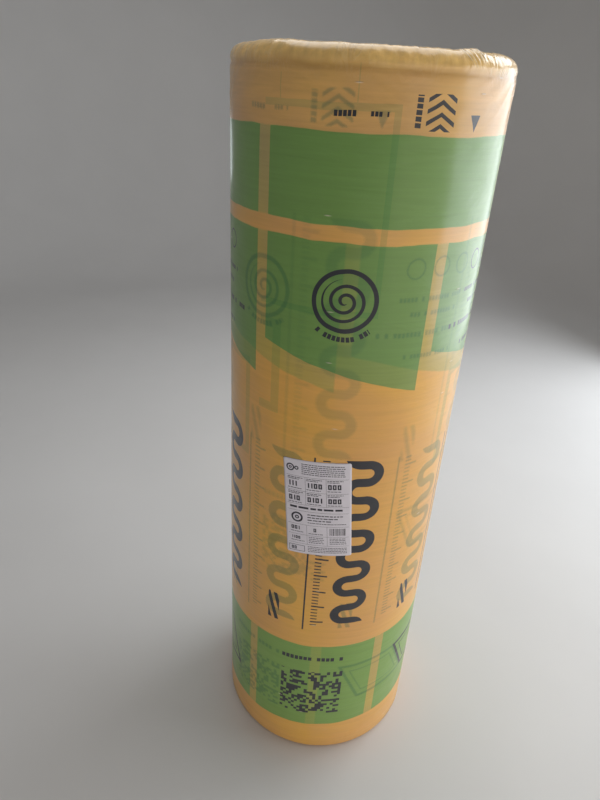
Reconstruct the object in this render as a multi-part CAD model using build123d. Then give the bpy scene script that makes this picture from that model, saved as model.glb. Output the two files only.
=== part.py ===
"""A roll of glass-wool insulation, wound tight, wrapped in printed polyethylene film, standing on its end.

The blanket is one turned solid with the eye of the winding through it and a spiral groove on each end,
where one turn lies against the next. The film is a thin skin with a rounded rim, folded in over both
ends as a gathered hem, and a paper sticker lies on its front. Millimetres, +Z up, the origin on the
floor under the centre of the roll, the front of the roll towards -Y.
"""
from build123d import *
import os
from math import cos, pi, radians, sin

# The blanket: its width is the height of the standing roll
blanket_width = 1200.0
blanket_length = 2700.0
wool_diameter = 369.0
eye_diameter = 26.0
groove_width = 10.0
groove_depth = 6.0

# The film: one skin stands for the few turns of thin film and the air between them
film_thickness = 1.0
film_clearance = 0.3
rim_radius = 18.0
foot_radius = 8.0
hem_width = 64.0

# The gathers of the top hem
pleat_count = 26
pleat_height = 3.4
pleat_tip_height = 0.5
pleat_tip_width = 1.2
pleat_rim_gap = 2.0
pleat_unevenness = 0.28
pleat_phase = 2.4

# The paper sticker on the front
sticker_width = 104.0
sticker_height = 176.0
sticker_thickness = 0.5
sticker_glue = 0.1
sticker_corner_radius = 3.0
sticker_turn = 5.0
sticker_azimuth = -5.7
sticker_centre_height = 587.0

# Worked out from the sizes above
wool_radius = wool_diameter / 2
eye_radius = eye_diameter / 2
skin = film_thickness + film_clearance
film_radius = wool_radius + skin
wool_base = skin
wool_top = wool_base + blanket_width
film_top = wool_top + skin
hem_radius = film_radius - hem_width
turn_pitch = pi * (wool_radius**2 - eye_radius**2) / blanket_length


def turned(section):
    """A solid turned round the roll's axis from a section drawn in radius and height."""
    return revolve(Plane.XZ * section, Axis.Z)


def ring_section(inner, outer, low, high, cut, foot_cut, rim_cut):
    """A section between two radii and two heights, its outer corners cut back by a fillet or a chamfer."""
    section = Pos(inner, low) * Rectangle(outer - inner, high - low, align=(Align.MIN, Align.MIN))
    foot_corner = section.vertices().group_by(Axis.X)[-1].sort_by(Axis.Y)[0]
    section = cut(foot_corner, foot_cut)
    rim_corner = section.vertices().group_by(Axis.Y)[-1].sort_by(Axis.X)[-1]
    return cut(rim_corner, rim_cut)


def groove_section(radius):
    """The gap between the worn edges of two turns that touch at a radius, with its mouth at height 0."""
    left = (radius - groove_width / 2, 0)
    right = (radius + groove_width / 2, 0)
    return make_face(Polyline(left, (radius, -groove_depth), right, close=True))


def turn_groove():
    """The spiral groove that the winding leaves on an end, from the eye out to under the hem.

    The spiral is a chain of half circles. Each is half a pitch larger than the last, and their centres
    take turns between two points, a quarter of a pitch to each side of the roll's axis.
    """
    reach = wool_radius - rim_radius - groove_width / 2 - eye_radius
    groove = None
    for k in range(int(reach / (turn_pitch / 2))):
        side, start = (1, 180) if k % 2 == 0 else (-1, 0)
        section = groove_section(eye_radius + turn_pitch / 4 + k * turn_pitch / 2)
        half_turn = Rot(0, 0, start) * revolve(Plane.XZ * section, Axis.Z, 180)
        half_turn = Pos(side * turn_pitch / 4, 0, 0) * half_turn
        groove = half_turn if groove is None else groove + half_turn
    return groove


def wound_blanket():
    """The compressed blanket, turned, with its eye, the spiral on both ends and corners that clear the film."""
    foot_cut = foot_radius - skin
    rim_cut = rim_radius - skin
    section = ring_section(eye_radius, wool_radius, wool_base, wool_top, chamfer, foot_cut, rim_cut)
    groove = turn_groove()
    top_groove = Pos(0, 0, wool_top) * groove
    foot_groove = Pos(0, 0, wool_base) * mirror(groove, about=Plane.XY)
    return turned(section) - top_groove - foot_groove


def pleat(azimuth, width):
    """One fold of the gathered hem, a low wedge that grows from the rim to the hem's inner edge."""
    around = radians(azimuth)
    outward = Vector(cos(around), sin(around), 0)
    sideways = Vector(-sin(around), cos(around), 0)
    sunk = film_top - film_thickness / 2

    def wedge(radius, wide, high):
        plane = Plane(origin=outward * radius, x_dir=sideways, z_dir=outward)
        corners = [(0, sunk), (wide, sunk), (0, film_top + high)]
        return plane * make_face(Polyline(*corners, close=True))

    inner = wedge(hem_radius, width, pleat_height)
    tip = wedge(film_radius - rim_radius - pleat_rim_gap, pleat_tip_width, pleat_tip_height)
    return loft([inner, tip], ruled=True)


def pleats():
    """The gathers all round, unevenly spaced. Folded double, they take up the film that the hem has to spare."""
    spare_length = 2 * pi * hem_width
    fold_width = spare_length / pleat_count / 2
    pitch = 360 / pleat_count
    folds = []
    for k in range(pleat_count):
        uneven = pleat_unevenness * sin(pleat_phase * k)
        folds.append(pleat((k + uneven) * pitch, fold_width * (1 + uneven)))
    return folds


def film_skin():
    """The film round the roll, folded in over both ends, with the gathers standing on the top hem."""
    t = film_thickness
    outside = ring_section(hem_radius, film_radius, 0, film_top, fillet, foot_radius, rim_radius)
    inside = ring_section(
        hem_radius, film_radius - t, t, film_top - t, fillet, foot_radius - t, rim_radius - t
    )
    return turned(outside - inside) + pleats()


def sticker():
    """The paper sticker: a piece of a thin tube, cut out by a turned rectangle with round corners."""
    inner = film_radius + sticker_glue
    outer = inner + sticker_thickness
    tube = Cylinder(outer, blanket_width) - Cylinder(inner, blanket_width)
    outline = RectangleRounded(sticker_width, sticker_height, sticker_corner_radius)
    cutter = extrude(Plane.XZ * Rot(0, 0, sticker_turn) * outline, film_radius + rim_radius)
    return Pos(0, 0, sticker_centre_height) * Rot(0, 0, sticker_azimuth) * (tube & cutter)


def main():
    os.makedirs("parts", exist_ok=True)
    export_step(wound_blanket(), "parts/wool_roll.step")
    export_step(film_skin(), "parts/film_wrap.step")
    export_step(sticker(), "parts/paper_sticker.step")


main()
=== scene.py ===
"""The looks of a roll of glass-wool insulation in printed polyethylene film, standing on its end.

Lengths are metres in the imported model's frame: +Z up, the roll's axis on Z, its front towards -Y. A
place on the film is given by two numbers: `around`, the angle from the front in radians, growing
towards +X, and `along`, the length measured on the film's section, which is the height on its side.
The film's print is laid out in millimetres, one repeat at a time.
"""
import random
from math import atan2, cos, exp, floor, hypot, pi, radians, sin

import bpy
from mathutils import Matrix, Vector, noise


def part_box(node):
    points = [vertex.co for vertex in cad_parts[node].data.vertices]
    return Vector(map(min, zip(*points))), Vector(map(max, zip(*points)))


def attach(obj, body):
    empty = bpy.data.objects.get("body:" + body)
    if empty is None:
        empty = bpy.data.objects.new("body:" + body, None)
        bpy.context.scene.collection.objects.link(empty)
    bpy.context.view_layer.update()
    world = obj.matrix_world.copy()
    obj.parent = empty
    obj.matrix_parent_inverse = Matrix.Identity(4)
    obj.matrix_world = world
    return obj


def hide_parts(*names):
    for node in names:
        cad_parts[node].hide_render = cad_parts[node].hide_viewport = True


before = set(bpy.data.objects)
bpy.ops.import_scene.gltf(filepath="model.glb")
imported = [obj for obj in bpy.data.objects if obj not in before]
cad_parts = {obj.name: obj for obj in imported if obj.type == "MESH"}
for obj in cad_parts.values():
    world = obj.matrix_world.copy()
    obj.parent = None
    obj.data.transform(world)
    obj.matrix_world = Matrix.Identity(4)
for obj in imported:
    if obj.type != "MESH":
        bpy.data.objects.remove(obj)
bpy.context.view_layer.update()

MM = 0.001

# Sizes that the frame gives
film_low, film_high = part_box("film_wrap")
wool_low, wool_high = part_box("wool_roll")
film_radius = (film_high.x - film_low.x) / 2
wool_radius = (wool_high.x - wool_low.x) / 2
skin = film_radius - wool_radius
film_top = wool_high.z + skin

# Sizes that the boxes can't give, as the solids have them
rim_radius = 18 * MM
foot_radius = 8 * MM
hem_width = 64 * MM
eye_radius = 13 * MM
blanket_length = 2700 * MM
turn_pitch = pi * (wool_radius**2 - eye_radius**2) / blanket_length

# The film, worked out
hem_radius = film_radius - hem_width
rim_start = film_top - rim_radius
rim_end = rim_start + rim_radius * pi / 2
hem_end = rim_end + hem_width - rim_radius
foot_end = foot_radius - foot_radius * pi / 2
foot_hem_end = foot_end - (hem_width - foot_radius)


# Small helpers for modelling

def shape_by_hand(kind, name, **settings):
    """Adds a primitive to an empty selection and gives it its name."""
    bpy.ops.object.select_all(action="DESELECT")
    getattr(bpy.ops.mesh, f"primitive_{kind}_add")(**settings)
    piece = bpy.context.object
    piece.name = piece.data.name = name
    return piece


def edit(piece):
    """Opens a piece in edit mode with everything in it selected."""
    bpy.ops.object.select_all(action="DESELECT")
    piece.select_set(True)
    bpy.context.view_layer.objects.active = piece
    bpy.ops.object.mode_set(mode="EDIT")
    bpy.ops.mesh.select_mode(type="VERT")
    bpy.ops.mesh.select_all(action="SELECT")


def leave_edit():
    bpy.ops.object.mode_set(mode="OBJECT")


def apply_modifier(piece, kind, name, **settings):
    """Adds a modifier with its settings and applies it."""
    bpy.ops.object.select_all(action="DESELECT")
    piece.select_set(True)
    bpy.context.view_layer.objects.active = piece
    modifier = piece.modifiers.new(name, kind)
    for setting, value in settings.items():
        setattr(modifier, setting, value)
    bpy.ops.object.modifier_apply(modifier=name)


def smooth(piece):
    """Shades a piece smoothly all over."""
    bpy.ops.object.select_all(action="DESELECT")
    piece.select_set(True)
    bpy.context.view_layer.objects.active = piece
    bpy.ops.object.shade_smooth()


def turned_out(piece, centre):
    """Flips a piece whose faces look towards a point inside it."""
    faces = piece.data.polygons
    outwards = sum((face.center - centre).dot(face.normal) * face.area for face in faces)
    if outwards < 0:
        edit(piece)
        bpy.ops.mesh.flip_normals()
        leave_edit()


def steps(start, end, spacing):
    """Even steps from start to end, both included, at most a spacing apart."""
    count = max(1, round(abs(end - start) / spacing))
    return [start + (end - start) * k / count for k in range(count + 1)]


def ramp(value, low, high):
    """Grows smoothly from 0 at low to 1 at high."""
    t = min(1, max(0, (value - low) / (high - low)))
    return t * t * (3 - 2 * t)


# The film's shape

body_row = 16 * MM
loose_row = 5 * MM
crumple_row = 2.5 * MM
film_columns = 600
lap_length = 34 * MM
lap_step = 0.5 * MM
lap_run_up = 0.3
tight_from = 1.10
crumple_from = 1.15
band_low = rim_start - 4 * MM

gather_count = 26
gather_height = 3.6 * MM
gather_lean = 0.35
gather_unevenness = 0.28
gather_phase = 2.4
hem_dip = 3.2 * MM
hem_curl = 1.4 * MM

# Where the rim stands higher: degrees round from the front, height, and degrees to each side
swells = (
    (-39, 2.4 * MM, 12), (-13, 0.6 * MM, 6), (40, 2.2 * MM, 4), (118, 1.8 * MM, 9), (-140, 2.0 * MM, 10)
)

# Creases that fan out over the rim: degrees round and length along, at the crest and at the low end
fans = (
    ((34.0, 1.210), (38.0, 1.189)), ((37.0, 1.212), (39.8, 1.187)), ((40.0, 1.212), (42.2, 1.1845)),
    ((42.0, 1.210), (43.4, 1.189)), ((132, 1.212), (127, 1.186)), ((135, 1.212), (131, 1.184)),
    ((-96, 1.212), (-99, 1.188)), ((-99, 1.211), (-103, 1.185)), ((-168, 1.212), (-164, 1.184)),
)
fan_height = 0.8 * MM
fan_half_width = 1.6 * MM
knots = ((53, 9), (-150, 8), (160, 7))


def film_section(along):
    """Radius and height on the even section of the film, and the outward direction there."""
    if along > rim_end:
        return film_radius - rim_radius - (along - rim_end), film_top, 0, 1
    if along > rim_start:
        turn = (along - rim_start) / rim_radius
        out, up = cos(turn), sin(turn)
        return film_radius - rim_radius * (1 - out), rim_start + rim_radius * up, out, up
    if along > foot_radius:
        return film_radius, along, 1, 0
    if along > foot_end:
        turn = (foot_radius - along) / foot_radius
        out, down = cos(turn), sin(turn)
        return film_radius - foot_radius * (1 - out), foot_radius * (1 - down), out, -down
    return film_radius - foot_radius - (foot_end - along), 0, 0, -1


def film_length(radius, height):
    """The length along the section at a point of it: the reverse of film_section."""
    if height > rim_start:
        if radius > film_radius - rim_radius:
            return rim_start + rim_radius * atan2(height - rim_start, radius - film_radius + rim_radius)
        return rim_end + film_radius - rim_radius - radius
    if height < foot_radius:
        if radius > film_radius - foot_radius:
            drop = atan2(foot_radius - height, radius - film_radius + foot_radius)
            return foot_radius - foot_radius * drop
        return foot_end - (film_radius - foot_radius - radius)
    return height


def creased(place):
    """Noise with sharp ridges, between about -1 and 1, as crumpled film has."""
    return 1 - 2.6 * abs(noise.noise(place))


def gather(around, inward):
    """Height of the gathers on the top hem. Each is a tuck, steep on one side, that grows inwards."""
    growth = max(0, inward) / (hem_width - rim_radius)
    lean = gather_lean * growth / gather_count
    position = (around - lean) / (2 * pi) * gather_count
    k = floor(position)
    height = 0
    for fold in (k - 1, k, k + 1):
        uneven = gather_unevenness * sin(gather_phase * (fold % gather_count))
        across = (position - fold - uneven) / (0.55 * (1 + uneven))
        if 0 <= across <= 1:
            profile = ramp(across, 0, 0.16) * (1 - across) ** 1.3
            height = max(height, profile * (1 + uneven))
    fine = creased(Vector((cos(around) * 9, sin(around) * 9, inward * 9)))
    return gather_height * growth**0.8 * (1.25 * height + 0.22 * fine)


def fan_crease(around, along, crest, low_end):
    """Height of one crease, which bends from the crest of the rim to its low end and fades towards it."""
    part = (crest[1] - along) / (crest[1] - low_end[1])
    if not -0.4 < part < 1:
        return 0
    middle = radians(crest[0] + (low_end[0] - crest[0]) * abs(part) ** 1.5)
    away = (around - middle) * film_radius / fan_half_width
    return exp(-away * away) * (1 - ramp(part, 0.7, 1)) * (1 - ramp(-part, 0, 0.4))


def rim_offset(around, along):
    """How far the film stands out over the rim: a soft roll of film with upright crinkles in it."""
    x, y = cos(around), sin(around)
    degrees_round = around * 180 / pi
    on_band = ramp(along, band_low, rim_start + 4 * MM)
    fold_at = band_low + 1.5 * MM * noise.noise(Vector((x * 3, y * 3, 1)))
    total = -0.8 * MM * exp(-(((along - fold_at) / (3.4 * MM)) ** 2))
    total += 0.55 * MM * on_band * noise.noise(Vector((x * 5, y * 5, along * 20)))
    total += 0.3 * MM * on_band * creased(Vector((x * 13, y * 13, along * 30)))
    total += 0.13 * MM * on_band * creased(Vector((x * 34, y * 34, along * 60)))
    near_crest = exp(-(((along - rim_end) / (12 * MM)) ** 2))
    if on_band > 0:
        for middle, height, reach in swells:
            away = (degrees_round - middle) / reach
            if abs(away) < 3:
                total += height * near_crest * exp(-away * away)
        for crest, low_end in fans:
            if abs(degrees_round - crest[0]) < 15:
                total += fan_height * fan_crease(around, along, crest, low_end)
        for middle, reach in knots:
            near = exp(-(((degrees_round - middle) / reach) ** 2)) * on_band
            if near > 0.02:
                total += 0.6 * MM * near * creased(Vector((x * 46, y * 46, along * 150)))
    bumpy = max(0, noise.noise(Vector((x * 2.2, y * 2.2, 8))) + 0.15)
    total += 2.2 * MM * near_crest * bumpy * max(0, noise.noise(Vector((x * 20, y * 20, 3))))
    at_crest = exp(-(((along - rim_end) / (4 * MM)) ** 2))
    return total + 1.1 * MM * at_crest * max(0, noise.noise(Vector((x * 42, y * 42, 5))))


def film_offset(around, along):
    """How far the film stands out from its even section: dents, slack, creases and gathers."""
    x, y = cos(around), sin(around)
    dent = 0.8 * MM * noise.noise(Vector((x * 1.3, y * 1.3, along * 2.7)))
    slack = ramp(along, 1.06, rim_start - 20 * MM) * (1 - ramp(along, rim_start, rim_end))
    wave = slack * 0.9 * MM * noise.noise(Vector((x * 2.4, y * 2.4, along * 26)))
    sag = slack * 0.42 * MM * creased(Vector((x * 3.1, y * 3.1, along * 60 + 3 * sin(around * 3))))
    foot_crinkle = ramp(-along, -0.05, 0) * 0.35 * MM * creased(Vector((x * 14, y * 14, along * 20)))
    total = dent * (1 - ramp(along, rim_start, rim_end)) + wave + sag + foot_crinkle
    if along > band_low - 12 * MM:
        total += rim_offset(around, along)
    inward = along - rim_end
    if inward > 0:
        to_edge = max(0, along - hem_end + 5 * MM) / (5 * MM)
        total += gather(around, inward) - hem_dip * ramp(inward, 0, 30 * MM) - hem_curl * to_edge**2
    if along < foot_radius:
        total = min(total, 0) * ramp(along, foot_end, foot_radius)
    return total


def film_place(around, along, lift=0.0):
    """The point of the film at a place, lifted outwards from it."""
    radius, height, out, up = film_section(along)
    stand = film_offset(around, along) + lift
    radius += out * stand
    return Vector((radius * sin(around), -radius * cos(around), max(0, height + up * stand)))


def section_rows():
    """Lengths along the section at which the film has a row of points."""
    rows = steps(foot_hem_end, foot_end, 6.5 * MM)
    rows += steps(foot_end, foot_radius, 3.1 * MM)[1:]
    rows += steps(foot_radius, tight_from, body_row)[1:]
    rows += steps(tight_from, crumple_from, loose_row)[1:]
    rows += steps(crumple_from, hem_end, crumple_row)[1:]
    return rows


def drawn_chain(name, points):
    """A chain of edges through points, drawn by extruding its end from one to the next."""
    piece = shape_by_hand("plane", name, size=MM)
    edit(piece)
    bpy.ops.mesh.merge(type="CENTER")
    bpy.ops.transform.translate(value=points[0])
    for here, there in zip(points, points[1:]):
        bpy.ops.mesh.extrude_region_move(TRANSFORM_OT_translate={"value": there - here})
    bpy.ops.mesh.select_all(action="SELECT")
    return piece


def make_film():
    """The film. Its section is spun once round and a little more, and its end laps over its start."""
    points = []
    for along in section_rows():
        radius, height, _, _ = film_section(along)
        points.append(Vector((0, radius, height)))
    film = drawn_chain("film", points)
    turn = 2 * pi + lap_length / film_radius
    columns = round(film_columns * turn / (2 * pi))
    bpy.ops.mesh.spin(steps=columns, angle=turn, center=(0, 0, 0), axis=(0, 0, 1), use_auto_merge=False)
    bpy.ops.mesh.select_all(action="SELECT")
    leave_edit()

    # Spin leaves the columns one after the other, each with its points in the first one's order
    mesh = film.data
    rows = len(points)
    lengths = [film_length(v.co.y, v.co.z) for v in mesh.vertices[:rows]]
    flat_places = []
    for v in mesh.vertices:
        column, row = divmod(v.index, rows)
        wound = turn * column / columns
        around = pi - wound
        along = lengths[row]
        over = lap_step * ramp(wound, 2 * pi - lap_run_up, 2 * pi)
        flat_places.append((around * film_radius, along))
        v.co = film_place(around, along, over)
    layer = mesh.uv_layers.new(name="film")
    for loop in mesh.loops:
        layer.data[loop.index].uv = flat_places[loop.vertex_index]
    turned_out(film, Vector((0, 0, 0.6)))
    smooth(film)
    return film


# The wound blanket

ring_columns = 300
groove_depth = 6 * MM
groove_half_width = 4.2 * MM
across_a_turn = (0, 0.03, 0.07, 0.12, 0.18, 0.25, 0.33, 0.41, 0.5, 0.59, 0.67, 0.75, 0.82, 0.88, 0.93, 0.97)
turns_wound = 4
wool_gap = 0.9 * MM
rim_chamfer = rim_radius - skin
foot_chamfer = foot_radius - skin


def wound_length(turns):
    """Length of the blanket that has been wound after a number of turns, none before the eye."""
    turns = max(0, turns)
    return 2 * pi * (eye_radius * turns + turn_pitch * turns**2 / 2)


def end_relief(turns, inside, pressed):
    """Height of an end of the blanket, pressed down where the hem lies on it. `inside` goes from 0 to 1
    from one side of a turn to the other."""
    length = wound_length(turns + inside)
    side = min(inside, 1 - inside) * turn_pitch
    groove = groove_depth * exp(-1.6 * (side / groove_half_width) ** 2)
    proud = 2.2 * MM * noise.noise(Vector((length * 2.2, 1.7, 0)))
    layers = 0.9 * MM * noise.noise(Vector((length * 9, inside * 13, 5)))
    tufts = 0.6 * MM * noise.noise(Vector((length * 90, inside * 30, 9)))
    radius = eye_radius + turn_pitch * (turns + inside)
    under_hem = ramp(radius, hem_radius - 26 * MM, hem_radius + 2 * MM)
    return (proud + layers + tufts) * (1 - under_hem) - groove - wool_gap - pressed * under_hem


def wound_end(name, height, up, outer_radius, pressed):
    """An end of the blanket: a flat grid, one way round the roll and the other way out, wound up."""
    rows = [turn + step for turn in range(-1, turns_wound) for step in across_a_turn] + [turns_wound]
    end = shape_by_hand("grid", name, size=1, x_subdivisions=ring_columns, y_subdivisions=len(rows) - 1)
    mesh = end.data
    flat_places = []
    for v in mesh.vertices:
        part = v.co.x + 0.5
        row = rows[round((v.co.y + 0.5) * (len(rows) - 1))]
        angle = pi + 2 * pi * part
        radius = min(outer_radius, max(eye_radius, eye_radius + turn_pitch * (row + part)))
        relief = end_relief(floor(row) + part, row - floor(row), pressed)
        if radius in (eye_radius, outer_radius):
            relief = -wool_gap - (pressed if radius == outer_radius else 0)
        flat_places.append((wound_length(row + part), turn_pitch * row))
        v.co = (radius * cos(angle), radius * sin(angle), height + up * relief)
    layer = mesh.uv_layers.active
    layer.name = "wool"
    for loop in mesh.loops:
        layer.data[loop.index].uv = flat_places[loop.vertex_index]
    edit(end)
    bpy.ops.mesh.remove_doubles(threshold=0.02 * MM)
    bpy.ops.mesh.dissolve_degenerate(threshold=0.02 * MM)
    leave_edit()
    return end


def select_open_edges(piece, wanted):
    """Selects the open edges of a piece, in edit mode, whose middle is wanted."""
    bpy.ops.mesh.select_mode(type="EDGE")
    bpy.ops.mesh.select_all(action="DESELECT")
    bpy.ops.mesh.select_non_manifold(
        use_wire=False, use_multi_face=False, use_non_contiguous=False, use_verts=False
    )
    leave_edit()
    places = [v.co for v in piece.data.vertices]
    for edge in piece.data.edges:
        if edge.select:
            here, there = (places[k] for k in edge.vertices)
            edge.select = wanted((here + there) / 2)
    bpy.ops.object.mode_set(mode="EDIT")


def make_wool():
    """The wound blanket: two wound ends, joined by the wall of the eye and the side under the film."""
    top = wound_end("wool", wool_high.z, 1, wool_radius - rim_chamfer, hem_dip)
    foot = wound_end("wool_foot", wool_low.z, -1, wool_radius - foot_chamfer, 0)
    bpy.ops.object.select_all(action="DESELECT")
    foot.select_set(True)
    top.select_set(True)
    bpy.context.view_layer.objects.active = top
    bpy.ops.object.join()
    middle = (wool_low.z + wool_high.z) / 2
    near_eye = 2 * eye_radius
    edit(top)
    select_open_edges(top, lambda place: place.xy.length < near_eye)
    bpy.ops.mesh.bridge_edge_loops(number_cuts=30, interpolation="LINEAR", smoothness=0)
    for chamfer, up in ((rim_chamfer, 1), (foot_chamfer, -1)):
        select_open_edges(top, lambda place: place.xy.length > near_eye and (place.z - middle) * up > 0)
        grow = wool_radius / (wool_radius - chamfer)
        bpy.ops.mesh.extrude_edges_move()
        bpy.ops.transform.resize(value=(grow, grow, 1), center_override=(0, 0, 0))
        bpy.ops.transform.translate(value=(0, 0, -up * chamfer))
    select_open_edges(top, lambda place: True)
    bpy.ops.mesh.bridge_edge_loops(number_cuts=20, interpolation="LINEAR", smoothness=0)
    bpy.ops.mesh.select_all(action="SELECT")
    bpy.ops.mesh.normals_make_consistent(inside=False)
    leave_edit()
    lay_out_walls(top)
    smooth(top)
    return top


def lay_out_walls(piece):
    """Gives the upright walls of the blanket their own place in its flat layout."""
    layer = piece.data.uv_layers["wool"]
    for face in piece.data.polygons:
        if abs(face.normal.z) < 0.6:
            for k in face.loop_indices:
                place = piece.data.vertices[piece.data.loops[k].vertex_index].co
                centre = face.center
                around = atan2(place.x * centre.y - place.y * centre.x, place.xy.dot(centre.xy))
                middle = atan2(centre.y, centre.x)
                layer.data[k].uv = (hypot(place.x, place.y) * (middle - around), place.z)


# The kraft paper that faces the blanket

kraft_depth = 9 * MM
kraft_stand = 0.6 * MM
kraft_thickness = 0.35 * MM
kraft_columns_a_turn = 220
kraft_inside = 0.035


def make_kraft(name, height, up):
    """The edge of the kraft facing, between one turn and the next: a strip wound with the blanket."""
    first, last = 0.06, (hem_radius + 8 * MM - eye_radius) / turn_pitch
    columns = round((last - first) * kraft_columns_a_turn)
    strip = shape_by_hand("grid", name, size=1, x_subdivisions=columns, y_subdivisions=3)
    for v in strip.data.vertices:
        turns = first + (v.co.x + 0.5) * (last - first)
        angle = pi + 2 * pi * turns
        length = wound_length(turns)
        wander = 0.7 * MM * noise.noise(Vector((length * 22, 3, 7)))
        radius = eye_radius + turn_pitch * (turns + kraft_inside) + wander
        torn = 0.5 * MM * noise.noise(Vector((length * 160, 1, 2)))
        worn = 1.1 * MM * noise.noise(Vector((length * 14, 8, 3)))
        edge = kraft_stand + torn + worn
        rise = edge - (0.5 - v.co.y) * (kraft_depth + edge) - 1.4 * MM
        v.co = (radius * cos(angle), radius * sin(angle), height + up * rise)
    apply_modifier(strip, "SOLIDIFY", "paper", thickness=kraft_thickness, offset=0)
    smooth(strip)
    return strip


# The paper sticker

sticker_width = 104 * MM
sticker_height = 176 * MM
sticker_corner = 3 * MM
sticker_turn = radians(5)
sticker_around = radians(-5.7)
sticker_centre = 587 * MM
sticker_paper = 0.2 * MM
sticker_lift = 0.15 * MM
ink_lift = 0.06 * MM


def stuck_on(x, y, lift):
    """The point on the film where a point of the flat sticker goes, x and y from its centre."""
    along = x * cos(sticker_turn) - y * sin(sticker_turn)
    height = x * sin(sticker_turn) + y * cos(sticker_turn)
    corner_x = max(0, abs(x) - sticker_width / 2 + 26 * MM)
    corner_y = max(0, abs(y) - sticker_height / 2 + 26 * MM)
    curl = 0.5 * MM * (corner_x * corner_y) / (26 * MM) ** 2
    ripple = 0.18 * MM * noise.noise(Vector((x * 60, y * 22, 4)))
    stand = sticker_lift + max(0, ripple) + curl + lift
    return film_place(sticker_around + along / film_radius, sticker_centre + height, stand)


def make_sticker():
    """The sticker: a grid cut round at its corners, given the paper's thickness and stuck on."""
    sticker = shape_by_hand("grid", "sticker", size=1, x_subdivisions=40, y_subdivisions=68)
    for v in sticker.data.vertices:
        x, y = v.co.x * sticker_width, v.co.y * sticker_height
        from_side = abs(x) - (sticker_width / 2 - sticker_corner)
        from_end = abs(y) - (sticker_height / 2 - sticker_corner)
        if from_side > 0 and from_end > 0:
            shrink = sticker_corner / max(sticker_corner, hypot(from_side, from_end))
            x -= (1 - shrink) * from_side * (1 if x > 0 else -1)
            y -= (1 - shrink) * from_end * (1 if y > 0 else -1)
        v.co = (x, y, 0)
    layer = sticker.data.uv_layers.active
    layer.name = "paper"
    for loop in sticker.data.loops:
        layer.data[loop.index].uv = sticker.data.vertices[loop.vertex_index].co.xy
    apply_modifier(sticker, "SOLIDIFY", "paper", thickness=sticker_paper, offset=1)
    for v in sticker.data.vertices:
        v.co = stuck_on(v.co.x, v.co.y, v.co.z)
    turned_out(sticker, sticker_middle(sticker))
    smooth(sticker)
    return sticker


def sticker_middle(piece):
    """The middle of a thin closed piece."""
    places = [v.co for v in piece.data.vertices]
    return sum(places, Vector()) / len(places)


# The print on the sticker, in millimetres from the paper's top left corner, y downwards

ink_seed = 11
bend_step = 3.5 * MM
letter_gap = 0.35


def words(x, y, width, height, chance):
    """A row of small text, too fine to read: short bars of uneven length with gaps between them."""
    bars = []
    here = x
    while here < x + width - height:
        length = min(chance.uniform(1.6, 4.6) * height, x + width - here)
        bars.append((here, y, length, height))
        here += length + chance.uniform(0.5, 0.9) * height
    return bars


def border(x, y, width, height, stroke):
    """The four bars of a frame."""
    return [
        (x, y, width, stroke),
        (x, y + height - stroke, width, stroke),
        (x, y + stroke, stroke, height - 2 * stroke),
        (x + width - stroke, y + stroke, stroke, height - 2 * stroke),
    ]


def bold_value(x, y, count, height, chance):
    """A value in bold type, without its figures: a row of blocks and upright bars of a figure's size."""
    bars = []
    width, stroke = 0.62 * height, 0.24 * height
    for _ in range(count):
        if chance.random() < 0.7:
            bars += border(x, y, width, height, stroke)
            x += width + letter_gap * stroke * 2
        else:
            bars.append((x + stroke * 0.6, y, stroke, height))
            x += stroke * 2.4
    return bars


def stripes(x, y, width, height, chance):
    """A block of upright stripes of uneven width."""
    bars = []
    here = x
    while here < x + width - 1:
        thick = chance.choice((0.5, 0.5, 0.9, 1.3))
        bars.append((here, y, thick, height))
        here += thick + chance.choice((0.5, 0.8, 1.1))
    return bars


def sticker_bars():
    """Every straight bar of the sticker's print."""
    chance = random.Random(ink_seed)
    left, right = 4, 100
    column_one, column_two = 34, 66
    bars = []
    for row in range(6):
        bars += words(29, 6 + row * 3.4, 66, 1.3, chance)
    for line in (29, 55, 80, 92, 118, 138, 156):
        bars.append((left, line, right - left, 0.4))
    for line in (column_one, column_two):
        bars.append((line, 29, 0.4, 51))
        bars.append((line, 118, 0.4, 38))
    for top in (29, 55):
        for start, count in ((left, 3), (column_one, 4), (column_two, 3)):
            bars += words(start + 2, top + 2.5, 24, 1.2, chance)
            bars += words(start + 2, top + 5.2, 18, 1.2, chance)
            bars += bold_value(start + 3, top + 9.5, count, 9, chance)
            bars += words(start + 2, top + 21.5, 22, 1.2, chance)
    bars += words(8, 84, 88, 3.6, chance)
    for row in range(3):
        bars += words(36, 97 + row * 5, 56 - row * 9, 1.8, chance)
    bars += words(36, 112.5, 60, 1.2, chance)
    bars += bold_value(9, 122, 3, 7, chance)
    bars += words(8, 132.5, 22, 1.2, chance)
    bars += bold_value(45, 123, 1, 7, chance)
    bars += words(37, 133.5, 24, 1.2, chance)
    bars += stripes(70, 121, 26, 14, chance)
    bars += bold_value(9, 142, 4, 5.5, chance)
    bars += words(8, 150.5, 22, 1.2, chance)
    for row in range(4):
        bars += words(37, 141 + row * 3.4, 24, 1.2, chance)
        bars += words(70, 141 + row * 3.4, 26, 1.2, chance)
    bars += border(left, 160, 26, 12, 0.8)
    bars += bold_value(8, 163, 2, 6, chance)
    for row in range(4):
        bars += words(35, 160 + row * 3.2, 62, 1.1, chance)
    return bars


def add_ring(x, y, radius, stroke):
    """Adds a flat ring to the mesh that is open in edit mode."""
    middle = ((x - 52) * MM, (88 - y) * MM, 0)
    bpy.ops.mesh.primitive_circle_add(vertices=36, radius=radius * MM, fill_type="NOTHING", location=middle)
    bpy.ops.mesh.extrude_edges_move()
    shrink = (radius - stroke) / radius
    bpy.ops.transform.resize(value=(shrink, shrink, 1), center_override=middle)


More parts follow.
